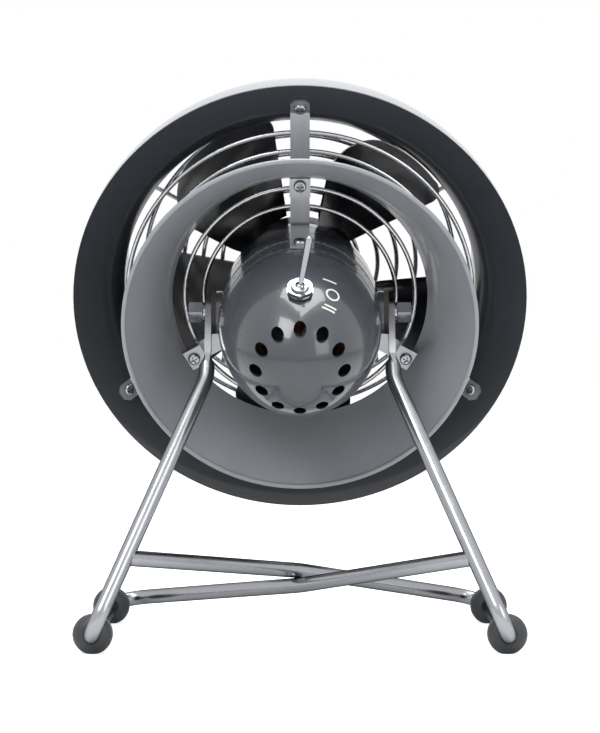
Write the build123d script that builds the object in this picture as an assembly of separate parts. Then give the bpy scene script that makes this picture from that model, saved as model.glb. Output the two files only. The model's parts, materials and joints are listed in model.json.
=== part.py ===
from build123d import *
import math
import os

# An air circulator fan on a bent tube stand. Millimetres.
# Axes: +X to the right and +Z up, seen from behind; the air leaves towards +Y.
# The head is drawn level, with its axis along +Y through the tilt pivots,
# and is then tipped up to its resting tilt. Along the head's axis "at" is a
# distance from the pivots, positive towards the outlet.

# Stand
tube_diameter = 10.0
foot_diameter = 25.0
foot_width = 19.0
foot_flat = 0.6
foot_spread = 257.2
rear_foot_y = -83.5
front_foot_y = 73.5
pivot_height = 211.5
leg_flat_thickness = 4.0
leg_flat_width = 13.0
leg_flat_gap = 115.0
leg_flat_above = 6.0
leg_flat_below = 40.0
leg_bend_below = 9.0
leg_rake = 118.0
bar_rise = 47.0
leg_bend_radius = 26.0
foot_bend_radius = 14.0
foot_bend_gap = 1.2
bar_join_share = 0.24
bar_bow_back = 3.0
bar_bow_up = 4.5
bar_bow_radius = 150.0
bar_end_setback = 1.5
weld_overlap = 0.05
tube_wall = 1.2

# Pivot hardware
pivot_bolt_diameter = 8.0
pivot_bolt_reach = 12.0
pivot_boss_depth = 9.0
pivot_post_radius = 8.0
pivot_hex_across = 13.0
pivot_hex_height = 9.6
lock_washer_diameter = 14.5
lock_washer_thickness = 1.4
friction_disc_diameter = 28.0
friction_disc_thickness = 3.2
running_clearance = 0.05
seat_gap = 0.02

# Head
rest_tilt = 22.8
sheet = 1.5
bell_rim_radius = 149.0
bell_rim_at = 15.7
bell_cone_angle = 61.4
bell_throat_radius = 117.0
bell_throat_blend = 26.0
cowl_bulge_radius = 108.0
cowl_front_at = 91.0
cowl_lip_radius = 3.0
cone_rim_radius = 112.7
cone_rim_at = -26.7
cone_throat_radius = 84.2
cone_throat_at = 24.6
cone_bulge = 2.6
cone_lip_radius = 1.6

# Straps
strap_angles = (90, 210, 330)
strap_width = 12.5
strap_thickness = 1.5
strap_at = 25.0
strap_inner_radius = 51.6
strap_outer_radius = 128.0
strap_tab_length = 11.0
strap_foot_to = -22.0
clip_at = 17.2
clip_from_radius = 74.6
clip_to_radius = 86.0
clip_width = 13.6
screw_thread_diameter = 4.0
screw_head_diameter = 8.0
screw_head_height = 2.4
screw_clearance = 0.1
screw_seat_gap = 0.05
bell_screw_radius = 131.6
cone_screw_radius = 81.1
egg_screw_at = -16.0

# Grilles
wire_diameter = 3.0
rear_ring_radius = 63.5
rear_ring_step = 12.6
rear_ring_count = 5
front_grille_at = 87.5
front_ring_radius = 40.0
front_ring_step = 13.0
front_ring_count = 6
front_spoke_count = 6
front_disc_radius = 30.0
front_disc_thickness = 2.0

# Motor
egg_radius = 53.0
egg_widest_at = -15.0
egg_tail_length = 91.6
egg_nose_length = 120.0
egg_wall = 2.2
egg_split_at = 24.0
egg_front_at = 40.0
vent_count = 12
vent_diameter = 8.0
vent_circle_radius = 27.5
motor_shaft_diameter = 8.0
stator_radius = 40.0
stator_bore_radius = 24.0
stator_length = 34.0
stator_at = -4.0
rotor_air_gap = 0.5
bearing_outer_radius = 11.0
bearing_width = 7.0
winding_overhang = 6.6
winding_gap = 0.3
winding_round = 2.5

# Impeller
blade_count = 5
blade_tip_radius = 110.0
blade_thickness = 2.2
blade_pitch = 30.0
blade_first_angle = 52.5
blade_half_angle = 24.5
blade_mid_at = 61.0
hub_radius = 41.0
hub_wall = 2.5
hub_from = 43.5
hub_to = 76.0
spinner_radius = 11.0
spinner_height = 5.0

# Toggle switch
toggle_at = -69.0
toggle_turn = 30.0
toggle_hex_across = 15.5
toggle_nut_height = 3.0
toggle_bush_radius = 5.6
toggle_bush_height = 6.0
toggle_ball_radius = 3.4
toggle_ball_gap = 0.3
toggle_case_depth = 6.0
toggle_ball_depth = 2.6
toggle_throat_radius = 2.7
toggle_lever_length = 34.0
toggle_lever_root_radius = 1.5
toggle_lever_tip_radius = 2.2
toggle_lean = 19.0
toggle_body_width = 13.0
toggle_body_length = 24.0
toggle_body_depth = 18.0

os.makedirs("parts", exist_ok=True)
nodes = {}


def turned(outline):
    """Solid of revolution about the head's axis from an (at, radius) outline."""
    return revolve(make_face(Plane.YZ * outline), Axis.Y, 360)


def ring_of(radius, at, section_radius):
    circle = Plane.YZ * Pos(at, radius) * Circle(section_radius)
    return revolve(circle, Axis.Y, 360)


def turn_about_axis(shape, angle):
    """Copy a shape drawn at the top of the head to another clock angle, seen from behind."""
    return Rot(0, 90 - angle, 0) * shape


def egg_radius_at(at, offset=0.0):
    half = (egg_tail_length if at < egg_widest_at else egg_nose_length) + offset
    return (egg_radius + offset) * math.sqrt(max(0.0, 1 - ((at - egg_widest_at) / half) ** 2))


def egg_slope_at(at):
    half = egg_tail_length if at < egg_widest_at else egg_nose_length
    return -((egg_radius / half) ** 2) * (at - egg_widest_at) / egg_radius_at(at)


def egg_curve(start, end, offset=0.0, count=9):
    """Spline along the egg's profile, offset outwards."""
    step = (end - start) / (count - 1)
    stations = [start + step * index for index in range(count)]
    return Spline([(at, egg_radius_at(at, offset)) for at in stations])


# Heights along the head's inlet bell
cone_lean = math.radians(bell_cone_angle)
bell_back_at = bell_rim_at + sheet / math.sin(cone_lean)
bell_vertex_at = bell_rim_at + (bell_rim_radius - bell_throat_radius) / math.tan(cone_lean)
bell_tangent = bell_throat_blend * math.tan(cone_lean / 2)


def inlet_bell():
    rim_in = (bell_rim_at, bell_rim_radius)
    cone_end = (
        bell_vertex_at - bell_tangent * math.cos(cone_lean),
        bell_throat_radius + bell_tangent * math.sin(cone_lean),
    )
    duct_start = (bell_vertex_at + bell_tangent, bell_throat_radius)
    duct_end = (cowl_front_at - cowl_lip_radius, bell_throat_radius)
    face_line = Polyline(rim_in, cone_end)
    blend = TangentArc(cone_end, duct_start, tangent=face_line % 1)
    duct = Line(duct_start, duct_end)
    skin = Wire([face_line.edge(), blend.edge(), duct.edge()])
    back = [
        (duct_end[0], duct_end[1] + sheet),
        (duct_start[0], duct_start[1] + sheet),
    ]
    back_cone_end = (
        cone_end[0] + sheet * math.sin(cone_lean),
        cone_end[1] + sheet * math.cos(cone_lean),
    )
    rim_corner = (bell_back_at, bell_rim_radius)
    back_line = Line(rim_corner, back_cone_end)
    back_blend = TangentArc(back_cone_end, back[1], tangent=face_line % 1)
    outline = [
        face_line,
        blend,
        duct,
        Line(duct_end, back[0]),
        Line(back[0], back[1]),
        back_blend,
        back_line,
        Line(rim_corner, rim_in),
    ]
    bell = turned(Curve() + outline)
    drill = bell_screw_place() * Cylinder(screw_thread_diameter / 2, 12)
    return bell - [turn_about_axis(drill, angle) for angle in strap_angles]


def cowl_radius_at(at, inset=0.0):
    centre = bell_rim_radius - cowl_bulge_radius
    reach = cowl_bulge_radius - inset
    return centre + math.sqrt(reach ** 2 - (at - bell_rim_at) ** 2)


def outer_cowl():
    rear_at = bell_back_at + seat_gap
    nose_at = cowl_front_at - cowl_lip_radius
    lip_inner = bell_throat_radius
    mid = (rear_at + nose_at) / 2
    outer_start = (rear_at, cowl_radius_at(rear_at))
    outer_end = (nose_at, cowl_radius_at(nose_at))
    inner_rear_at = rear_at + sheet / math.tan(cone_lean)
    inner_start = (inner_rear_at, cowl_radius_at(inner_rear_at, sheet))
    inner_end = (nose_at - sheet, cowl_radius_at(nose_at - sheet, sheet))
    web_outer = (nose_at - sheet, bell_throat_radius + sheet + seat_gap)
    seat = (nose_at + seat_gap, bell_throat_radius + sheet + seat_gap)
    lip_root = (nose_at + seat_gap, lip_inner)
    tip = (cowl_front_at, (lip_inner + outer_end[1]) / 2 - 0.5)
    outline = [
        ThreePointArc(outer_start, (mid, cowl_radius_at(mid)), outer_end),
        ThreePointArc(outer_end, (cowl_front_at - 0.6, tip[1] + 1.6), (cowl_front_at, tip[1] - 0.4)),
        ThreePointArc(
            (cowl_front_at, tip[1] - 0.4), (cowl_front_at - 0.9, lip_inner + 0.6), lip_root
        ),
        Line(lip_root, seat),
        Line(seat, web_outer),
        Line(web_outer, inner_end),
        ThreePointArc(inner_end, (mid, cowl_radius_at(mid, sheet)), inner_start),
        Line(inner_start, outer_start),
    ]
    return turned(Curve() + outline)


def cone_mid_point(offset=0.0):
    """Middle of the rear cone's bulged flare."""
    run = cone_throat_at - cone_rim_at
    rise = cone_throat_radius - cone_rim_radius
    length = math.hypot(run, rise)
    bow = -cone_bulge + offset
    return (
        (cone_rim_at + cone_throat_at) / 2 - rise / length * bow,
        (cone_rim_radius + cone_throat_radius) / 2 + run / length * bow,
    )


def rear_cone():
    run = cone_throat_at - cone_rim_at
    rise = cone_throat_radius - cone_rim_radius
    length = math.hypot(run, rise)
    shift = (-rise / length * sheet, run / length * sheet)
    throat = (cone_throat_at, cone_throat_radius)
    rim = (cone_rim_at, cone_rim_radius)
    rim_out = (rim[0] + shift[0], rim[1] + shift[1])
    throat_out = (cone_throat_at, cone_throat_radius + sheet * 1.05)
    outline = [
        ThreePointArc(throat, cone_mid_point(), rim),
        Line(rim, rim_out),
        ThreePointArc(rim_out, cone_mid_point(sheet), throat_out),
        Line(throat_out, throat),
    ]
    flare = turned(Curve() + outline)
    lip = ring_of(cone_rim_radius + shift[1] / 2, cone_rim_at + shift[0] / 2, cone_lip_radius)
    ears = [turn_about_axis(cone_ear(), angle) for angle in strap_angles]
    return flare + lip + ears


def cone_ear():
    """Inward lug that takes the screw of a strap's clip."""
    foot = clip_from_radius + 1.5
    top = clip_to_radius + 1.6
    back = clip_at + strap_thickness + seat_gap
    block = Box(clip_width - 2, sheet, top - foot)
    ear = Pos(0, back + sheet / 2, (foot + top) / 2) * block
    hole = Pos(0, back, cone_screw_radius) * Rot(90, 0, 0) * Cylinder(screw_thread_diameter / 2, 12)
    return ear - hole


def strap_profile():
    """Side view of a strap at the top of the head, as an (at, radius) outline."""
    lean = cone_lean
    tab_end = (
        strap_at - strap_tab_length * math.cos(lean),
        strap_outer_radius + strap_tab_length * math.sin(lean),
    )
    outer_shift = (strap_thickness * math.sin(lean), strap_thickness * math.cos(lean))
    tab_end_back = (tab_end[0] + outer_shift[0], tab_end[1] + outer_shift[1])
    knee_back = (
        strap_at + strap_thickness,
        strap_outer_radius + strap_thickness * math.tan((math.pi / 2 - lean) / 2),
    )
    foot_skin = 0.25
    foot_start = strap_at - 2.2
    bend_inner = (foot_start, egg_radius_at(foot_start, foot_skin))
    bend_outer = (foot_start, egg_radius_at(foot_start, foot_skin + strap_thickness))
    inner_low = (strap_at + strap_thickness, strap_inner_radius)
    inner_high = (strap_at, strap_inner_radius + strap_thickness)
    foot_inner = egg_curve(foot_start, strap_foot_to, foot_skin, 6)
    foot_outer = egg_curve(strap_foot_to, foot_start, foot_skin + strap_thickness, 6)
    outline = [
        Line(tab_end, (strap_at, strap_outer_radius)),
        Line((strap_at, strap_outer_radius), inner_high),
        Line(inner_high, bend_outer),
        foot_outer,
        Line(foot_outer @ 0, foot_inner @ 1),
        foot_inner,
        Line(bend_inner, inner_low),
        Line(inner_low, knee_back),
        Line(knee_back, tab_end_back),
        Line(tab_end_back, tab_end),
    ]
    return Curve() + outline


def clip_profile():
    """Side view of the tongue that reaches back to the rear cone."""
    top = clip_to_radius
    low = clip_from_radius
    skin = strap_thickness
    points = [
        (clip_at, low - skin), (clip_at, top), (clip_at + skin, top), (clip_at + skin, low),
        (strap_at, low), (strap_at, low - skin),
    ]
    return Polyline(*points, close=True)


def strap():
    """One strap at the top of the head."""
    side = extrude(make_face(Plane.YZ * strap_profile()), strap_width / 2, both=True)
    clip = extrude(make_face(Plane.YZ * clip_profile()), clip_width / 2, both=True)
    body = side + clip
    lean = cone_lean
    reach = (bell_screw_radius - strap_outer_radius) / math.sin(lean)
    tab_at = strap_at - reach * math.cos(lean)
    drill = Cylinder(screw_thread_diameter / 2, 14)
    body -= Pos(0, tab_at, bell_screw_radius) * Rot(90 - bell_cone_angle + 90, 0, 0) * drill
    body -= Pos(0, clip_at, cone_screw_radius) * Rot(90, 0, 0) * Cylinder(screw_thread_diameter / 2, 8)
    body -= egg_screw_place() * drill
    tab_corners = body.edges().filter_by_position(Axis.Z, bell_rim_radius - 20, bell_rim_radius)
    corners = tab_corners.filter_by(lambda edge: edge.length < strap_thickness * 1.01)
    return chamfer(corners, 3.2)


def egg_screw_place():
    """Frame on the egg under a strap's foot, its local Z along the egg's normal."""
    lean = math.degrees(math.atan(egg_slope_at(egg_screw_at)))
    return Pos(0, egg_screw_at, egg_radius_at(egg_screw_at)) * Rot(lean, 0, 0)


def pan_screw(grip):
    """Pan head screw, its head above the local XY plane, its thread below."""
    head = Cylinder(screw_head_diameter / 2, screw_head_height, align=(Align.CENTER, Align.CENTER, Align.MIN))
    head = fillet(head.faces().sort_by(Axis.Z)[-1].edges(), screw_head_height * 0.6)
    slot_depth = screw_head_height * 0.55
    arm = Box(4.6, 1.0, slot_depth, align=(Align.CENTER, Align.CENTER, Align.MAX))
    cross = Pos(0, 0, screw_head_height) * (arm + Rot(0, 0, 90) * arm)
    thread = Cylinder(
        screw_thread_diameter / 2 - screw_clearance, grip, align=(Align.CENTER, Align.CENTER, Align.MAX)
    )
    return head - cross + thread


def strap_screws(place, grip):
    one = place * pan_screw(grip)
    return [turn_about_axis(one, angle) for angle in strap_angles]


def bell_screw_place():
    lean = cone_lean
    reach = (bell_screw_radius - strap_outer_radius) / math.sin(lean)
    tab_at = strap_at - reach * math.cos(lean)
    return Pos(0, tab_at - screw_seat_gap, bell_screw_radius) * Rot(90 + (90 - bell_cone_angle), 0, 0)


def rear_grille():
    at = strap_at + strap_thickness + wire_diameter / 2
    radii = [rear_ring_radius + rear_ring_step * index for index in range(rear_ring_count)]
    return [ring_of(radius, at, wire_diameter / 2) for radius in radii]


def front_grille():
    radii = [front_ring_radius + front_ring_step * index for index in range(front_ring_count)]
    rings = Part() + [ring_of(radius, front_grille_at, wire_diameter / 2) for radius in radii]
    spoke_at = front_grille_at - wire_diameter * 0.8
    reach = bell_throat_radius - seat_gap
    rod = Pos(0, spoke_at, (reach + front_disc_radius - 4) / 2) * Cylinder(
        wire_diameter / 2, reach - front_disc_radius + 4
    )
    spokes = [Rot(0, 360 / front_spoke_count * index, 0) * rod for index in range(front_spoke_count)]
    return rings + spokes


def front_disc():
    """Bare pressed disc at the centre of the front grille."""
    at = front_grille_at - wire_diameter * 0.8 + wire_diameter / 2 + seat_gap
    disc = Pos(0, at + front_disc_thickness / 2, 0) * Rot(90, 0, 0) * Cylinder(
        front_disc_radius, front_disc_thickness
    )
    rim = disc.faces().sort_by(Axis.Y)[-1].edges()
    return fillet(rim, front_disc_thickness * 0.6)


def motor_tail():
    """Hollow tail of the motor housing, with its ring of vents."""
    nose = egg_curve(egg_widest_at, egg_split_at, 0.0, 6)
    nose_in = egg_curve(egg_split_at, egg_widest_at, -egg_wall, 6)
    outline = [
        EllipticalCenterArc((egg_widest_at, 0), egg_tail_length, egg_radius, start_angle=90, arc_size=90),
        nose,
        Line(nose @ 1, nose_in @ 0),
        nose_in,
        EllipticalCenterArc(
            (egg_widest_at, 0), egg_tail_length - egg_wall, egg_radius - egg_wall,
            start_angle=90, arc_size=90,
        ),
        Line((egg_widest_at - egg_tail_length, 0), (egg_widest_at - egg_tail_length + egg_wall, 0)),
    ]
    shell = turned(Curve() + outline)
    for index in range(vent_count):
        angle = math.radians(360 / vent_count * index + 90)
        x = vent_circle_radius * math.cos(angle)
        z = vent_circle_radius * math.sin(angle)
        drill = Pos(x, egg_widest_at - egg_tail_length + 20, z) * Rot(90, 0, 0) * Cylinder(vent_diameter / 2, 40)
        shell -= drill
    shell += pivot_bosses()
    shell -= pivot_bores()
    shell -= toggle_place() * Cylinder(toggle_bush_radius + 0.2, 30)
    for angle in strap_angles:
        shell -= turn_about_axis(egg_screw_place() * Cylinder(screw_thread_diameter / 2, 20), angle)
    return shell


def pivot_bosses():
    """Side pads of the egg that the stand's friction discs press on."""
    pad_end = leg_flat_gap / 2 - friction_disc_thickness - seat_gap
    inner = pad_end - pivot_boss_depth
    boss = Pos((pad_end + inner) / 2, 0, 0) * Rot(0, 90, 0) * Cylinder(friction_disc_diameter / 2, pad_end - inner)
    core = revolve(make_face(Plane.YZ * (Curve() + [
        egg_curve(-30, egg_split_at, -egg_wall / 2, 6),
        Line((egg_split_at, egg_radius_at(egg_split_at, -egg_wall / 2)), (egg_split_at, 0)),
        Line((egg_split_at, 0), (-30, 0)),
        Line((-30, 0), (-30, egg_radius_at(-30, -egg_wall / 2))),
    ])), Axis.Y, 360)
    pad = boss - core
    post = Pos(inner, 0, 0) * Rot(0, 90, 0) * Cylinder(
        pivot_post_radius, pivot_boss_depth, align=(Align.CENTER, Align.CENTER, Align.MIN)
    )
    one = pad + post
    return [one, mirror(one, Plane.YZ)]


def pivot_bores():
    bore = Rot(0, 90, 0) * Cylinder(pivot_bolt_diameter / 2 + running_clearance, leg_flat_gap)
    middle = Cylinder(egg_radius, 2 * (leg_flat_gap / 2 - pivot_bolt_reach - 1))
    return bore - Rot(0, 90, 0) * middle


def motor_front():
    """Front end cover of the motor housing."""
    lap = 5.0
    rim = egg_curve(egg_split_at + seat_gap, egg_front_at, 0.0, 5)
    start = egg_split_at + seat_gap
    inner_radius = egg_radius_at(egg_front_at) - egg_wall
    bore = bearing_outer_radius
    lap_radius = egg_radius_at(egg_split_at, -egg_wall) - seat_gap
    front = egg_front_at
    points_back = [
        (front, bore - 5), (front - 2, bore - 5), (front - 2, bore),
        (front - 2 - bearing_width, bore), (front - 2 - bearing_width, bore + 4),
        (front - egg_wall, bore + 4), (front - egg_wall, inner_radius),
        (start - lap, lap_radius - 2), (start - lap, lap_radius), (start, lap_radius),
    ]
    outline = [rim, Polyline(rim @ 1, *points_back, rim @ 0)]
    return turned(Curve() + outline)


def ring_block(outer, inner, start, end):
    solid = Pos(0, (start + end) / 2, 0) * Rot(90, 0, 0) * Cylinder(outer, end - start)
    return solid - Pos(0, (start + end) / 2, 0) * Rot(90, 0, 0) * Cylinder(inner, end - start + 2)


def stator_core():
    """Laminated stack with six poles and its ring of slots."""
    start = stator_at - stator_length / 2
    end = stator_at + stator_length / 2
    core = ring_block(stator_radius, stator_bore_radius, start, end)
    slot = Pos(0, stator_at, stator_radius - 8.5) * Box(9, stator_length + 2, 9)
    mouth = Pos(0, stator_at, stator_bore_radius + 2) * Box(2.4, stator_length + 2, 12)
    for index in range(6):
        core -= Rot(0, 60 * index + 30, 0) * (slot + mouth)
    return core


def stator_windings():
    """End turns of enamelled wire, one bundle on each face of the stack."""
    mid_radius = stator_radius - 8.5
    reach = stator_length / 2 + winding_gap
    hoop = ring_block(mid_radius + 4, mid_radius - 5, reach, reach + winding_overhang)
    outer_edges = hoop.edges().filter_by(GeomType.CIRCLE).sort_by(Axis.Y)[-2:]
    hoop = fillet(outer_edges, winding_round)
    return [Pos(0, stator_at, 0) * hoop, Pos(0, stator_at, 0) * Rot(180, 0, 0) * hoop]


def housing_spider():
    """Cast ring that holds the stator and the rear bearing inside the egg."""
    start = stator_at - stator_length / 2 - 16
    back = start - 3
    rim = egg_curve(back, start, -egg_wall - seat_gap, 4)
    hub = bearing_outer_radius + 4
    plate = turned(Curve() + [rim, Polyline(rim @ 1, (start, hub), (back, hub), rim @ 0)])
    cup = ring_block(bearing_outer_radius + 4, bearing_outer_radius, back - bearing_width + 3, start)
    sleeve = ring_block(stator_radius + 4, stator_radius + seat_gap, start - 0.1, stator_at + stator_length / 2)
    holes = [
        Rot(0, 60 * index, 0) * Pos(0, back, 27) * Rot(90, 0, 0) * Cylinder(6.5, 20) for index in range(6)
    ]
    return plate + cup + sleeve - holes


def bearing(center_at):
    """Ball bearing drawn as one closed ring with its shield groove."""
    body = ring_block(bearing_outer_radius - seat_gap, motor_shaft_diameter / 2 + running_clearance,
                      center_at - bearing_width / 2, center_at + bearing_width / 2)
    return body - ring_block(bearing_outer_radius - 2, motor_shaft_diameter / 2 + 2, center_at + 3, center_at + 6)


def motor_shaft():
    back = stator_at - stator_length / 2 - 28
    front = hub_to + 3
    bar = Pos(0, (front + back) / 2, 0) * Rot(90, 0, 0) * Cylinder(motor_shaft_diameter / 2, front - back)
    return chamfer(bar.edges().filter_by(GeomType.CIRCLE), 0.6)


def rotor_core():
    core = ring_block(stator_bore_radius - rotor_air_gap, motor_shaft_diameter / 2,
                      stator_at - stator_length / 2, stator_at + stator_length / 2)
    return core


def blade():
    """One pitched blade at the top of the hub, trimmed to its rounded outline."""
    pitch = math.radians(blade_pitch)
    root = hub_radius - 1.5
    sections = []
    for radius in (root - 6, (root + blade_tip_radius) / 2, blade_tip_radius + 6):
        half = radius * math.sin(math.radians(blade_half_angle)) + 8
        twist = math.atan(math.tan(pitch) * (72.0 / radius))
        camber = half * 0.16
        along = (math.cos(twist), math.sin(twist))
        normal = (-math.sin(twist), math.cos(twist))
        top = blade_thickness / 2

        def point(share, lift):
            bow = camber * (1 - share * share) + lift
            return (
                half * share * along[0] + bow * normal[0],
                half * share * along[1] + bow * normal[1],
            )

        outline = [
            ThreePointArc(point(-1, top), point(0, top), point(1, top)),
            Line(point(1, top), point(1, -top)),
            ThreePointArc(point(1, -top), point(0, -top), point(-1, -top)),
            Line(point(-1, -top), point(-1, top)),
        ]
        station = Plane(origin=(0, blade_mid_at, radius), x_dir=(1, 0, 0), z_dir=(0, 0, 1))
        sections.append(make_face(station * (Curve() + outline)))
    slab = loft(sections)
    return slab & blade_trim()


def blade_trim():
    """Outline of a blade seen along the shaft, square at one edge and well rounded at the other."""
    def polar(radius, angle):
        turn = math.radians(angle)
        return (radius * math.sin(turn), radius * math.cos(turn))

    side = blade_half_angle
    root = hub_radius - 1.5
    tip = blade_tip_radius
    edges = [
        Line(polar(root, side - 3), polar(tip - 9, side)),
        ThreePointArc(polar(tip - 9, side), polar(tip - 2.2, side - 2.0), polar(tip, side - 7)),
        ThreePointArc(polar(tip, side - 7), polar(tip, 0), polar(tip, -side * 0.25)),
        ThreePointArc(polar(tip, -side * 0.25), polar(tip - 10, -side * 0.8), polar(tip - 36, -side - 1)),
        ThreePointArc(polar(tip - 36, -side - 1), polar(root + 14, -side), polar(root, -side * 0.72)),
        ThreePointArc(polar(root, -side * 0.72), polar(root, 0), polar(root, side - 3)),
    ]
    outline = Plane.XZ * (Curve() + edges)
    face = make_face(outline)
    prism = extrude(face, 120, both=True)
    return Pos(0, 0, 0) * prism


def impeller():
    """Moulded hub cup with pitched blades."""
    nose = 8.0
    outline = [
        Polyline(
            (hub_from, hub_radius), (hub_to - nose, hub_radius),
        ),
        ThreePointArc((hub_to - nose, hub_radius), (hub_to - nose * 0.3, hub_radius - nose * 0.3),
                      (hub_to, hub_radius - nose)),
        Polyline(
            (hub_to, hub_radius - nose), (hub_to, motor_shaft_diameter / 2), (hub_from + 4, motor_shaft_diameter / 2),
            (hub_from + 4, motor_shaft_diameter / 2 + 5), (hub_to - hub_wall, motor_shaft_diameter / 2 + 7),
            (hub_to - hub_wall, hub_radius - nose), (hub_to - nose, hub_radius - hub_wall),
            (hub_from, hub_radius - hub_wall), (hub_from, hub_radius),
        ),
    ]
    hub = turned(Curve() + outline)
    one = blade()
    blades = [
        turn_about_axis(one, blade_first_angle + 360 / blade_count * index) for index in range(blade_count)
    ]
    return hub + blades


def spinner_nut():
    """Domed nut that holds the hub on the shaft."""
    start = hub_to + seat_gap
    nut = Pos(0, start + spinner_height / 2, 0) * Rot(90, 0, 0) * Cylinder(spinner_radius, spinner_height)
    nut = fillet(nut.faces().sort_by(Axis.Y)[-1].edges(), 2.5)
    return nut - Pos(0, start, 0) * Rot(90, 0, 0) * Cylinder(motor_shaft_diameter / 2, 2 * 3.2)


def toggle_place():
    """Frame of the toggle on the egg: local Z outwards, local Y towards the outlet."""
    lean = math.degrees(math.atan(egg_slope_at(toggle_at)))
    return Pos(0, toggle_at, egg_radius_at(toggle_at)) * Rot(lean, 0, 0) * Rot(0, 0, -toggle_turn)


def toggle_nut():
    up = (Align.CENTER, Align.CENTER, Align.MIN)
    outer = extrude(RegularPolygon(toggle_hex_across / 2, 6, major_radius=False), toggle_nut_height)
    cap = Pos(0, 0, -0.01) * Cone(toggle_hex_across / 2 * 1.62, toggle_hex_across / 2 * 0.86, toggle_nut_height + 0.9,
                                  align=up)
    nut = outer & cap
    nut -= Cylinder(toggle_bush_radius + seat_gap, 20)
    washer = Cylinder(toggle_hex_across / 2 + 0.6, 0.8, align=up) - Cylinder(toggle_bush_radius + seat_gap, 5)
    return toggle_place() * Pos(0, 0, 0.35) * (washer + Pos(0, 0, 0.8) * nut)


def toggle_bush():
    """Threaded bush of the toggle, with the socket its lever rocks in."""
    up = (Align.CENTER, Align.CENTER, Align.MIN)
    bush = Cylinder(toggle_bush_radius, toggle_bush_height + toggle_case_depth, align=up)
    bush = Pos(0, 0, -toggle_case_depth) * fillet(bush.faces().sort_by(Axis.Z)[-1].edges(), 0.8)
    centre = Pos(0, 0, toggle_bush_height - toggle_ball_depth)
    socket = centre * Sphere(toggle_ball_radius + toggle_ball_gap)
    throat = centre * Cone(toggle_throat_radius, toggle_throat_radius + 0.9, toggle_bush_height, align=up)
    return toggle_place() * (bush - socket - throat)


def toggle_case():
    """Moulded switch case inside the egg."""
    down = (Align.CENTER, Align.CENTER, Align.MAX)
    case = Box(toggle_body_width, toggle_body_length, toggle_body_depth, align=down)
    case = Pos(0, 0, -toggle_case_depth) * chamfer(case.edges().filter_by(Axis.Z), 1.2)
    return toggle_place() * case


def toggle_lever():
    """Ball, tapered stick and rounded tip, resting forwards at the first speed."""
    up = (Align.CENTER, Align.CENTER, Align.MIN)
    stick = Cone(toggle_lever_root_radius, toggle_lever_tip_radius, toggle_lever_length, align=up)
    tip = Pos(0, 0, toggle_lever_length) * Sphere(toggle_lever_tip_radius)
    lever = Sphere(toggle_ball_radius) + stick + tip
    centre = Pos(0, 0, toggle_bush_height - toggle_ball_depth)
    return toggle_place() * centre * Rot(-toggle_lean, 0, 0) * lever


# Stand geometry
foot_lift = foot_diameter / 2 - foot_flat
leg_flat_x = leg_flat_gap / 2 + leg_flat_thickness / 2
leg_drop = pivot_height - foot_lift


leg_splay = foot_spread / 2 - leg_flat_x


def corner_past_bead(leaving):
    """Where the floor run's corner stands past a bead, for the tube leaving along a vector."""
    turn = math.acos(-leaving.Y / leaving.length)
    return foot_width / 2 + foot_bend_gap + foot_bend_radius * math.tan(turn / 2)


rear_corner_y = rear_foot_y - corner_past_bead(Vector(-leg_splay, leg_rake, leg_drop))
front_corner_y = front_foot_y + corner_past_bead(Vector(-foot_spread, leg_rake * 1.7, -bar_rise))
leg_lean = math.atan2(-rear_corner_y, leg_drop)


def leg_point(drop_along, x):
    """Point of the legs' leaning plane, a distance down it from the pivots."""
    return Vector(x, -drop_along * math.sin(leg_lean), pivot_height - drop_along * math.cos(leg_lean))


def tube_route(side):
    """Corner points of one stand tube, from under its flat end to its weld on the other leg."""
    half = foot_spread / 2
    top = leg_point(leg_flat_below, side * (leg_flat_x + 0.4))
    bend = leg_point(leg_flat_below + leg_bend_below, side * (leg_flat_x + 0.7))
    rear = Vector(side * half, rear_corner_y, foot_lift)
    front = Vector(side * half, front_corner_y, foot_lift)
    other_bend = Vector(-bend.X, bend.Y, bend.Z)
    other_rear = Vector(-rear.X, rear.Y, rear.Z)
    share = 1 - bar_join_share * leg_drop / (bend.Z - foot_lift)
    weld = other_bend + (other_rear - other_bend) * share
    across = front.X / (front.X - weld.X)
    middle = front + (weld - front) * across + Vector(0, side * bar_bow_back, side * bar_bow_up)
    weld = weld - (weld - middle).normalized() * bar_end_setback
    return [top, bend, rear, front, middle, weld]


def stand_tube(side):
    """One bent tube: leaning leg, run along the floor through two feet, and bar to the other leg."""
    points = tube_route(side)
    bends = [leg_bend_radius, foot_bend_radius, foot_bend_radius, bar_bow_radius]
    path = FilletPolyline(*points, radius=bends)
    start = Plane(origin=path @ 0, z_dir=path % 0)
    outside = sweep(start * Circle(tube_diameter / 2), path=path)
    bore = sweep(start * Circle(tube_diameter / 2 - tube_wall), path=path)
    return outside - bore - other_leg(side) + leg_flat(side)


def other_leg(side):
    """Round of the opposite leg where the bar is coped to it."""
    route = tube_route(-side)
    line = Line(route[1], route[2])
    plane = Plane(origin=route[1], z_dir=line % 0)
    return extrude(plane * Circle(tube_diameter / 2 - weld_overlap), line.length)


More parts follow.
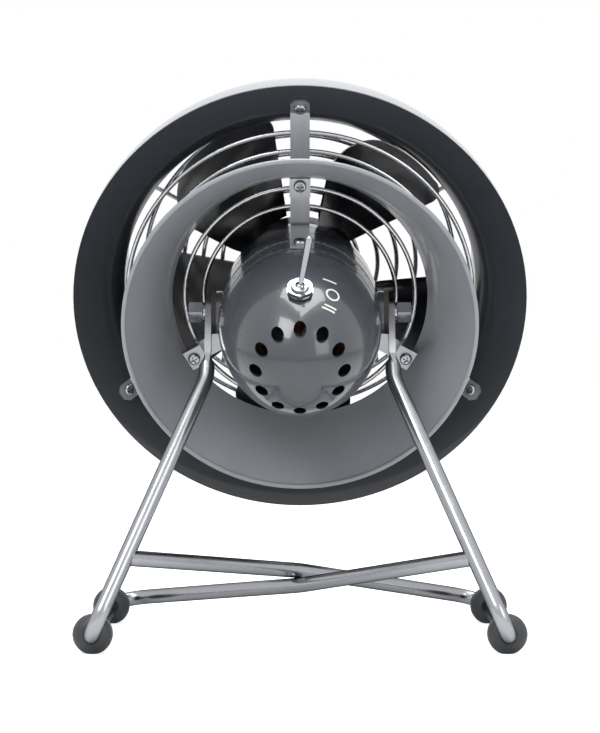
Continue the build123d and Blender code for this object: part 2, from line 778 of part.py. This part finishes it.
def leg_flat(side):
    """Flattened, rounded end of a leg with its hole, blended into the round tube."""
    place = Pos(side * leg_flat_x, 0, pivot_height) * Rot(-math.degrees(leg_lean), 0, 0)
    blend_length = 6.0
    height = leg_flat_above + leg_flat_below - blend_length
    plate = Pos(0, 0, leg_flat_above) * Box(
        leg_flat_thickness, leg_flat_width, height, align=(Align.CENTER, Align.CENTER, Align.MAX)
    )
    top_edges = plate.edges().filter_by(Axis.X).sort_by(Axis.Z)[-2:]
    plate = place * fillet(top_edges, leg_flat_width * 0.3)
    route = tube_route(side)
    upper_face = place * Pos(0, 0, leg_flat_above - height + 0.01) * Rectangle(leg_flat_thickness, leg_flat_width)
    lower_face = Plane(origin=route[0], z_dir=route[1] - route[0]) * Circle(tube_diameter / 2)
    blend = loft([lower_face.face(), upper_face.face()])
    hole = place * Rot(0, 90, 0) * Cylinder(pivot_bolt_diameter / 2 + seat_gap, 30)
    return plate + blend - hole


def foot(side, y):
    """Rubber bead threaded on the floor run of a tube."""
    x = side * foot_spread / 2
    bead = Cylinder(foot_diameter / 2, foot_width)
    bead = fillet(bead.edges().filter_by(GeomType.CIRCLE), foot_width * 0.42)
    bead -= Cylinder(tube_diameter / 2 + seat_gap, foot_width + 2)
    bead = Pos(x, y, foot_lift) * Rot(90, 0, 0) * bead
    floor_cut = Pos(x, y, 0) * Box(60, 60, 20, align=(Align.CENTER, Align.CENTER, Align.MAX))
    return bead - floor_cut


def pivot_bolt(side):
    """Chamfered hexagon bolt through a leg's flat end into the motor housing."""
    outer = leg_flat_gap / 2 + leg_flat_thickness + lock_washer_thickness + 2 * seat_gap
    hexagon = extrude(RegularPolygon(pivot_hex_across / 2, 6, major_radius=False), pivot_hex_height)
    hexagon = Rot(0, 0, 30) * hexagon
    up = (Align.CENTER, Align.CENTER, Align.MIN)
    waist = pivot_hex_across / 2
    barrel = Cone(waist * 0.98, waist * 0.98 + pivot_hex_height * 1.8, pivot_hex_height, align=up)
    cap = Cone(waist * 0.98 + pivot_hex_height * 1.8, waist * 0.98, pivot_hex_height, align=up)
    head = hexagon & barrel & cap
    shank = Pos(0, 0, -pivot_bolt_reach - (outer - leg_flat_gap / 2)) * Cylinder(
        pivot_bolt_diameter / 2, pivot_bolt_reach + (outer - leg_flat_gap / 2) + 0.5, align=up)
    bolt = Pos(outer, 0, 0) * Rot(0, 90, 0) * (head + shank)
    bolt = Pos(0, 0, pivot_height) * bolt
    return bolt if side > 0 else mirror(bolt, Plane.YZ)


def lock_washer(side):
    """Toothed lock washer under the bolt's head."""
    inner = leg_flat_gap / 2 + leg_flat_thickness + seat_gap
    ring = Cylinder(lock_washer_diameter / 2 - 1.2, lock_washer_thickness)
    tooth = Pos(lock_washer_diameter / 2 - 1.0, 0, 0) * Rot(18, 0, 0) * Box(2.0, 1.6, lock_washer_thickness * 0.6)
    teeth = [Rot(0, 0, 30 * index) * tooth for index in range(12)]
    ring = ring + teeth - Cylinder(pivot_bolt_diameter / 2 + seat_gap, 5)
    solid = Pos(inner + lock_washer_thickness / 2, 0, pivot_height) * Rot(0, 90, 0) * ring
    return solid if side > 0 else mirror(solid, Plane.YZ)


def friction_disc(side):
    inner = leg_flat_gap / 2 - friction_disc_thickness
    disc = Cylinder(friction_disc_diameter / 2, friction_disc_thickness - seat_gap)
    disc -= Cylinder(pivot_bolt_diameter / 2 + running_clearance, 10)
    solid = Pos(inner + friction_disc_thickness / 2, 0, pivot_height) * Rot(0, 90, 0) * disc
    return solid if side > 0 else mirror(solid, Plane.YZ)


head_place = Pos(0, 0, pivot_height) * Rot(rest_tilt, 0, 0)


def keep(name, shape, place=None):
    """Place a piece and remember it as its own node."""
    whole = Part() + shape if isinstance(shape, list) else shape
    nodes[name] = place * whole if place else whole


sides = (("left", -1), ("right", 1))
for name, side in sides:
    keep(f"{name}_stand_tube", stand_tube(side))
    keep(f"{name}_rear_foot", foot(side, rear_foot_y))
    keep(f"{name}_front_foot", foot(side, front_foot_y))
    keep(f"{name}_pivot_bolt", pivot_bolt(side))
    keep(f"{name}_lock_washer", lock_washer(side))
    keep(f"{name}_friction_disc", friction_disc(side))

keep("outer_cowl", outer_cowl(), head_place)
keep("inlet_bell", inlet_bell(), head_place)
keep("rear_cone", rear_cone(), head_place)
for name, angle in zip(("top", "left", "right"), strap_angles):
    keep(f"{name}_strap", turn_about_axis(strap(), angle), head_place)
clip_place = Pos(0, clip_at - screw_seat_gap, cone_screw_radius) * Rot(90, 0, 0)
keep("bell_screws", strap_screws(bell_screw_place(), 2.6), head_place)
keep("cone_screws", strap_screws(clip_place, 6.0), head_place)
keep("housing_screws", strap_screws(egg_screw_place() * Pos(0, 0, 0.27 + strap_thickness), 5.0), head_place)
keep("rear_grille", rear_grille(), head_place)
keep("front_grille", front_grille(), head_place)
keep("front_disc", front_disc(), head_place)
keep("motor_tail_housing", motor_tail(), head_place)
keep("motor_front_cover", motor_front(), head_place)
keep("bearing_spider", housing_spider(), head_place)
keep("stator_core", stator_core(), head_place)
keep("stator_windings", stator_windings(), head_place)
keep("front_bearing", bearing(egg_front_at - 2 - bearing_width / 2), head_place)
keep("rear_bearing", bearing(stator_at - stator_length / 2 - 19 - bearing_width / 2 + 3), head_place)
keep("toggle_bush", toggle_bush(), head_place)
keep("toggle_case", toggle_case(), head_place)
keep("toggle_nut", toggle_nut(), head_place)
keep("toggle_lever", toggle_lever(), head_place)
keep("motor_shaft", motor_shaft(), head_place)
keep("rotor_core", rotor_core(), head_place)
keep("impeller", impeller(), head_place)
keep("spinner_nut", spinner_nut(), head_place)

# The floor under the middle of the whole fan becomes the origin
boxes = [shape.bounding_box() for shape in nodes.values()]
shift = -(min(box.min.Y for box in boxes) + max(box.max.Y for box in boxes)) / 2
for name, shape in nodes.items():
    export_step(Pos(0, shift, 0) * shape, f"parts/{name}.step")
print("pivots at y", round(shift, 3))
print("size x", round(max(box.max.X for box in boxes) - min(box.min.X for box in boxes), 2))
print("size y", round(max(box.max.Y for box in boxes) - min(box.min.Y for box in boxes), 2))
print("size z", round(max(box.max.Z for box in boxes), 2))
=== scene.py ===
import json
import math

import bmesh
import bpy
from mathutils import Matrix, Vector


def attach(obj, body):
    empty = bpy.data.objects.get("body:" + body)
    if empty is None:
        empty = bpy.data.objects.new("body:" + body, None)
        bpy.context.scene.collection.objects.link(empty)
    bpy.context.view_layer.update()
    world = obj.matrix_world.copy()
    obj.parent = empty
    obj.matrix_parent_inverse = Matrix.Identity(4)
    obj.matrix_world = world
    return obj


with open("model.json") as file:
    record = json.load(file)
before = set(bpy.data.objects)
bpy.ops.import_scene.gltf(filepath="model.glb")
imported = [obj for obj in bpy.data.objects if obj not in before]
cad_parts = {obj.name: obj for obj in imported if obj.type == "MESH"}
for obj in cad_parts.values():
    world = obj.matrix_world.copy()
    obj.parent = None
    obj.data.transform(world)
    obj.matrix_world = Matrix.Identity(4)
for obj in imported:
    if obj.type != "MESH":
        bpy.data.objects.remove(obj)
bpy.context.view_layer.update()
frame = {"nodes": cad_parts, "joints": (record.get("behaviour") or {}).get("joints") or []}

mm = 0.001

# The head at rest: the point it tilts about, and how far up it looks in the photograph
pivot = Vector(next(joint for joint in frame["joints"] if joint["name"] == "head_tilt")["pos_m"])
restTilt = math.radians(22.8)
axisWay = Vector((0, math.cos(restTilt), math.sin(restTilt)))
upWay = Vector((0, -math.sin(restTilt), math.cos(restTilt)))


def headPoint(at, radius, angle):
    # A point on the head in millimetres: along its axis, out from it, and clockwise from the top
    turn = math.radians(angle)
    out = Vector((math.sin(turn), 0, 0)) + upWay * math.cos(turn)
    return pivot + (axisWay * at + out * radius) * mm


def toLinear(text):
    values = [int(text[start:start + 2], 16) / 255 for start in (1, 3, 5)]
    return (*[v / 12.92 if v <= 0.04045 else ((v + 0.055) / 1.055) ** 2.4 for v in values], 1.0)


def addNode(tree, kind, settings=None, values=None, links=None):
    node = tree.nodes.new(kind)
    for key, value in (settings or {}).items():
        setattr(node, key, value)
    for key, value in (values or {}).items():
        node.inputs[key].default_value = value
    for key, source in (links or {}).items():
        tree.links.new(source, node.inputs[key])
    return node


def newMaterial(name):
    material = bpy.data.materials.new(name)
    material.use_nodes = True
    tree = material.node_tree
    tree.nodes.clear()
    place = addNode(tree, "ShaderNodeTexCoord").outputs["Object"]
    shader = addNode(tree, "ShaderNodeBsdfPrincipled")
    addNode(tree, "ShaderNodeOutputMaterial", links={"Surface": shader.outputs["BSDF"]})
    return material, tree, place, shader


def addFinish(name, look, turn=0.0):
    # One surface: its hue, shine and relief all follow the same fine grain, as they do on a real finish
    material, tree, place, shader = newMaterial(name)
    if turn:
        place = addNode(tree, "ShaderNodeVectorRotate", {"rotation_type": "AXIS_ANGLE"},
                        {"Center": pivot, "Axis": axisWay, "Angle": turn}, {"Vector": place}).outputs["Vector"]
    streaks = addNode(tree, "ShaderNodeMapping", values={"Scale": look.get("stretch", (1, 1, 1))},
                      links={"Vector": place}).outputs["Vector"]
    grain = addNode(tree, "ShaderNodeTexNoise", values={"Scale": 1 / (look["size"] * mm), "Detail": 3.0},
                    links={"Vector": streaks}).outputs["Fac"]
    wear = addNode(tree, "ShaderNodeTexNoise",
                   values={"Scale": 1 / (look.get("wear", 30.0) * mm), "Detail": 2.0},
                   links={"Vector": place}).outputs["Fac"]
    shine = addNode(tree, "ShaderNodeMapRange",
                    values={"From Min": noiseSpread[0], "From Max": noiseSpread[1],
                            "To Min": look["shine"][0], "To Max": look["shine"][1]},
                    links={"Value": wear}).outputs["Result"]
    hue = addNode(tree, "ShaderNodeMix", {"data_type": "RGBA"},
                  {6: toLinear(look["deep"]), 7: toLinear(look["pale"])}, {0: grain}).outputs[2]
    bump = addNode(tree, "ShaderNodeBump", values={"Strength": 1.0, "Distance": look["depth"] * mm},
                   links={"Height": grain}).outputs["Normal"]
    for key, source in {"Base Color": hue, "Roughness": shine, "Normal": bump}.items():
        tree.links.new(source, shader.inputs[key])
    shader.inputs["Metallic"].default_value = look.get("metal", 0.0)
    shader.inputs["Coat Weight"].default_value = look.get("coat", 0.0)
    shader.inputs["Coat Roughness"].default_value = coatRoughness
    # A dark edge tint darkens the reflection at grazing angles: painted shade along edges
    shader.inputs["Specular Tint"].default_value = toLinear(look.get("edge", "#ffffff"))
    return material


print("materials")

noiseSpread = (0.3, 0.7)  # nearly all of a noise texture's values lie between these
coatRoughness = 0.05

looks = {
    # Nickel chrome on polished tube: a soft mirror with painted shade along its edges from a dark edge tint, faintly
    # lined by polishing
    "chromePlating": {"pale": "#abadb0", "deep": "#9fa1a5", "edge": "#3c3e42", "shine": (0.2, 0.27), "metal": 1.0,
                      "size": 0.5, "stretch": (1, 1, 0.15), "wear": 14.0, "depth": 0.0012},
    # The same plating on small turned hardware: brighter and harder, with painted shade on its turned-away sides
    # from a dark edge tint
    "hardwarePlating": {"pale": "#b0b2b6", "deep": "#9c9ea3", "edge": "#2c2e31", "shine": (0.08, 0.16), "metal": 1.0,
                        "size": 0.4, "wear": 6.0, "depth": 0.0015},
    # Sprayed and stoved enamel on spun steel: an even gloss, a faint orange peel, fine flecks in the silver
    "silverEnamel": {"pale": "#adafb4", "deep": "#a1a3a9", "shine": (0.24, 0.32), "coat": 0.6,
                     "metal": 0.25, "size": 1.2, "depth": 0.005},
    "charcoalEnamel": {"pale": "#2f3338", "deep": "#292d32", "shine": (0.3, 0.4), "coat": 0.5,
                       "size": 1.4, "depth": 0.005},
    "greyEnamel": {"pale": "#a3a6ab", "deep": "#989ba0", "shine": (0.28, 0.38), "coat": 0.4,
                   "size": 1.4, "depth": 0.005},
    "housingEnamel": {"pale": "#43474e", "deep": "#3c4046", "shine": (0.22, 0.3), "coat": 0.8,
                      "size": 1.6, "depth": 0.006},
    # Cold rolled strip, satin brushed along its length: soft streaks and a blurred shine
    "rolledSteel": {"pale": "#c3c4c7", "deep": "#a2a4a7", "shine": (0.3, 0.42), "metal": 0.9,
                    "size": 0.35, "stretch": (1, 0.02, 0.02), "depth": 0.004},
    # Bright drawn wire, zinc plated: shiny with small dull patches, and painted shade along its edges from a dark
    # edge tint
    "drawnWire": {"pale": "#d6d7da", "deep": "#bbbdc0", "edge": "#7a7c80", "shine": (0.18, 0.3), "metal": 1.0,
                  "size": 1.1, "wear": 2.2, "depth": 0.003},
    # Moulded nitrile rubber: dull dark grey with a fine skin
    "footRubber": {"pale": "#3b3e41", "deep": "#303336", "shine": (0.42, 0.56), "size": 0.6, "depth": 0.012},
    # Injection moulded ABS: deep glossy black with a slight waviness
    "bladeAbs": {"pale": "#141518", "deep": "#0d0e10", "shine": (0.12, 0.2), "size": 4.0, "depth": 0.004},
    # Phenolic switch case: dark brick red, darkened further as painted shade for its place inside the housing, seen
    # only as a hint through a vent
    "shadedSwitchPhenolic": {"pale": "#5e1811", "deep": "#48110c", "shine": (0.4, 0.5), "size": 1.0, "depth": 0.01},
    # Pressed fibre: matt, dark and grainy
    "frictionFibre": {"pale": "#4b4843", "deep": "#35332f", "shine": (0.75, 0.9), "size": 0.4, "depth": 0.03},
    # Pad printed ink: flat near-white
    "markInk": {"pale": "#f0f0ee", "deep": "#e4e4e1", "shine": (0.45, 0.55), "size": 0.3, "depth": 0.004},
    # Sand cast aluminium inside the motor: dull and pitted, its colour darkened as painted shade for its place
    # inside the housing
    "shadedCastAlloy": {"pale": "#4a4b4d", "deep": "#36373a", "shine": (0.5, 0.65), "metal": 0.8, "size": 0.8,
                  "depth": 0.02},
    # Ground bearing steel: fine bright rings
    "groundSteel": {"pale": "#a3a5a8", "deep": "#8e9094", "shine": (0.15, 0.25), "metal": 1.0, "size": 0.5,
                    "stretch": (1, 0.3, 1), "depth": 0.002},
    # Laminations under dark varnish
    "varnishedCore": {"pale": "#2a2826", "deep": "#1c1b1a", "shine": (0.4, 0.55), "size": 0.5, "depth": 0.03},
    # Enamelled wire, laid in bundles: a deep copper sheen
    "windingCopper": {"pale": "#7a3c20", "deep": "#532714", "shine": (0.25, 0.4), "metal": 0.9, "size": 0.8,
                      "stretch": (1, 0.3, 1), "depth": 0.15},
}

steelTurns = {"topStrapSteel": 0, "leftStrapSteel": 120, "rightStrapSteel": -120, "discSteel": 0}
surfaces = {name: addFinish(name, look) for name, look in looks.items() if name != "rolledSteel"}
for name, turn in steelTurns.items():
    surfaces[name] = addFinish(name, looks["rolledSteel"], math.radians(turn))

madeOf = {
    "silverEnamel": ["outer_cowl"],
    "charcoalEnamel": ["inlet_bell"],
    "greyEnamel": ["rear_cone"],
    "topStrapSteel": ["top_strap"],
    "leftStrapSteel": ["left_strap"],
    "rightStrapSteel": ["right_strap"],
    "discSteel": ["front_disc"],
    "hardwarePlating": ["bell_screws", "cone_screws", "housing_screws", "toggle_bush", "toggle_nut",
                        "toggle_lever", "spinner_nut", "left_pivot_bolt", "right_pivot_bolt",
                        "left_lock_washer", "right_lock_washer"],
    "drawnWire": ["rear_grille", "front_grille"],
    "housingEnamel": ["motor_tail_housing", "motor_front_cover"],
    "shadedCastAlloy": ["bearing_spider"],
    "varnishedCore": ["stator_core", "rotor_core"],
    "windingCopper": ["stator_windings"],
    "groundSteel": ["front_bearing", "rear_bearing", "motor_shaft"],
    "shadedSwitchPhenolic": ["toggle_case"],
    "bladeAbs": ["impeller"],
    "chromePlating": ["left_stand_tube", "right_stand_tube"],
    "footRubber": ["left_rear_foot", "right_rear_foot", "left_front_foot", "right_front_foot"],
    "frictionFibre": ["left_friction_disc", "right_friction_disc"],
}
for surface, nodes in madeOf.items():
    for node in nodes:
        for materialSlot in frame["nodes"][node].material_slots:
            materialSlot.material = surfaces[surface]


def addPiece(name, vertices, faces, material, body):
    mesh = bpy.data.meshes.new(name)
    mesh.from_pydata([tuple(v) for v in vertices], [], faces)
    work = bmesh.new()
    work.from_mesh(mesh)
    bmesh.ops.recalc_face_normals(work, faces=work.faces)
    work.to_mesh(mesh)
    work.free()
    for face in mesh.polygons:
        face.use_smooth = False
    piece = bpy.data.objects.new(name, mesh)
    bpy.context.scene.collection.objects.link(piece)
    mesh.materials.append(material)
    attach(piece, body)


print("switch marks")

# The motor housing's egg, as part.py draws it, to lay the printed marks on
egg = {"radius": 53.0, "widestAt": -15.0, "tail": 91.6}
marks = {"width": 1.15, "film": 0.09, "sunk": 0.05, "strokeSteps": 10, "ringSteps": 40,
         "strokes": {"one": (-54.7, 17.4, 28.4), "twoFront": (-75.3, 22.3, 34.2), "twoRear": (-77.8, 20.5, 33.8)},
         "ring": {"at": -65.6, "angle": 27.5, "along": 4.1, "around": 5.4}}


def eggRadius(at, lift=0.0):
    share = (at - egg["widestAt"]) / egg["tail"]
    return egg["radius"] * math.sqrt(1 - share * share) + lift


def inkStrip(name, path, closed):
    # A flat ribbon of ink along a path of (at, angle) points on the egg, with square edges
    half = marks["width"] / 2
    around = lambda at: math.degrees(1 / eggRadius(at))
    vertices = []
    for index, (at, angle) in enumerate(path):
        after = path[(index + 1) % len(path)] if closed or index + 1 < len(path) else path[index]
        before = path[index - 1] if closed or index else path[index]
        run = Vector((after[0] - before[0], (after[1] - before[1]) / around(at))).normalized()
        for across, lift in ((-half, -marks["sunk"]), (-half, marks["film"]),
                             (half, marks["film"]), (half, -marks["sunk"])):
            spotAt = at + run.y * across
            spotAngle = angle - run.x * across * around(at)
            vertices.append(headPoint(spotAt, eggRadius(spotAt, lift), spotAngle))
    count = len(path)
    faces = []
    for index in range(count if closed else count - 1):
        here, there = index * 4, (index + 1) % count * 4
        faces += [(here + k, here + (k + 1) % 4, there + (k + 1) % 4, there + k) for k in range(4)]
    if not closed:
        faces += [(3, 2, 1, 0), tuple(range((count - 1) * 4, count * 4))]
    addPiece(name, vertices, faces, surfaces["markInk"], "head")


for name, (at, start, end) in marks["strokes"].items():
    steps = marks["strokeSteps"]
    inkStrip(f"speed_mark_{name}", [(at, start + (end - start) * k / steps) for k in range(steps + 1)], False)
ring = marks["ring"]
steps = marks["ringSteps"]
inkStrip("speed_mark_off", [(ring["at"] + ring["along"] * math.sin(2 * math.pi * k / steps),
                             ring["angle"] + ring["around"] * math.cos(2 * math.pi * k / steps))
                            for k in range(steps)], True)


print("camera, floor and light")

view = {"distance": 1651.8, "height": 207.6, "focal": 2534.0, "horizon": 318.4}
imageWidth, imageHeight, sensor = 600, 733, 36.0
cameraData = bpy.data.cameras.new("camera")
camera = bpy.data.objects.new("camera", cameraData)
bpy.context.scene.collection.objects.link(camera)
cameraData.sensor_fit = "HORIZONTAL"
cameraData.sensor_width = sensor
cameraData.lens = view["focal"] / imageWidth * sensor
camera.location = (0, pivot.y - view["distance"] * mm, view["height"] * mm)
lookDown = math.atan((imageHeight / 2 - view["horizon"]) / view["focal"])
camera.rotation_euler = (math.pi / 2 - lookDown, 0, 0)
bpy.context.scene.camera = camera

studio = {"floor": "#f1f2f3", "floorPale": "#f4f5f6", "floorSize": 6.0, "lift": 0.78, "mirroredLift": 0.2,
          "paperRoughness": 0.9, "cloudScale": 2.5, "ambient": 0.27, "background": 1.0}


def studioFloor():
    size = studio["floorSize"]
    mesh = bpy.data.meshes.new("floor")
    corners = [(-size, -size, 0), (size, -size, 0), (size, size, 0), (-size, size, 0)]
    mesh.from_pydata(corners, [], [(0, 1, 2, 3)])
    floor = bpy.data.objects.new("floor", mesh)
    bpy.context.scene.collection.objects.link(floor)
    material, tree, place, shader = newMaterial("studioPaper")
    clouds = addNode(tree, "ShaderNodeTexNoise", values={"Scale": studio["cloudScale"], "Detail": 2.0},
                     links={"Vector": place})
    hue = addNode(tree, "ShaderNodeMix", {"data_type": "RGBA"},
                  {6: toLinear(studio["floor"]), 7: toLinear(studio["floorPale"])}, {0: clouds.outputs["Fac"]})
    tree.links.new(hue.outputs[2], shader.inputs["Base Color"])
    shader.inputs["Roughness"].default_value = studio["paperRoughness"]
    shader.inputs["Specular IOR Level"].default_value = 0.0
    # The camera sees the paper lifted to the background's white; at this lift its shadow is lost too
    path = addNode(tree, "ShaderNodeLightPath")
    mirrored = addNode(tree, "ShaderNodeMath", {"operation": "MULTIPLY"}, {1: studio["mirroredLift"]},
                       {0: path.outputs["Is Glossy Ray"]}).outputs[0]
    glow = addNode(tree, "ShaderNodeMath", {"operation": "MULTIPLY_ADD"}, {1: studio["lift"]},
                   {0: path.outputs["Is Camera Ray"], 2: mirrored}).outputs[0]
    shader.inputs["Emission Color"].default_value = (1, 1, 1, 1)
    tree.links.new(glow, shader.inputs["Emission Strength"])
    mesh.materials.append(material)


def studioWorld():
    world = bpy.data.worlds.new("studio")
    bpy.context.scene.world = world
    world.use_nodes = True
    tree = world.node_tree
    tree.nodes.clear()
    path = addNode(tree, "ShaderNodeLightPath")
    seen = addNode(tree, "ShaderNodeMath", {"operation": "MAXIMUM"},
                   links={0: path.outputs["Is Camera Ray"], 1: path.outputs["Is Glossy Ray"]}).outputs[0]
    seen = addNode(tree, "ShaderNodeMath", {"operation": "MAXIMUM"},
                   links={0: seen, 1: path.outputs["Is Transmission Ray"]}).outputs[0]
    strength = addNode(tree, "ShaderNodeMapRange",
                       values={"To Min": studio["ambient"], "To Max": studio["background"]},
                       links={"Value": seen}).outputs["Result"]
    background = addNode(tree, "ShaderNodeBackground", values={"Color": (1, 1, 1, 1)},
                         links={"Strength": strength})
    addNode(tree, "ShaderNodeOutputWorld", links={"Surface": background.outputs["Background"]})


lampTarget = (0, 0, 0.2)
lamps = {
    "key": {"at": (-0.9, -1.3, 1.7), "size": (0.9, 0.9), "power": 17.0},
    "fill": {"at": (1.2, -1.2, 0.9), "size": (0.8, 1.2), "power": 6.0},
    "top": {"at": (0.1, -0.1, 1.9), "size": (1.2, 1.2), "power": 29.0},
}


def studioLamps():
    for name, lamp in lamps.items():
        data = bpy.data.lights.new(name, "AREA")
        data.shape = "RECTANGLE"
        data.size, data.size_y = lamp["size"]
        data.energy = lamp["power"]
        light = bpy.data.objects.new(name, data)
        bpy.context.scene.collection.objects.link(light)
        light.location = lamp["at"]
        aim = Vector(lampTarget) - Vector(lamp["at"])
        light.rotation_euler = aim.to_track_quat("-Z", "Y").to_euler()


studioFloor()
studioWorld()
studioLamps()
bpy.context.scene.view_settings.view_transform = "Standard"
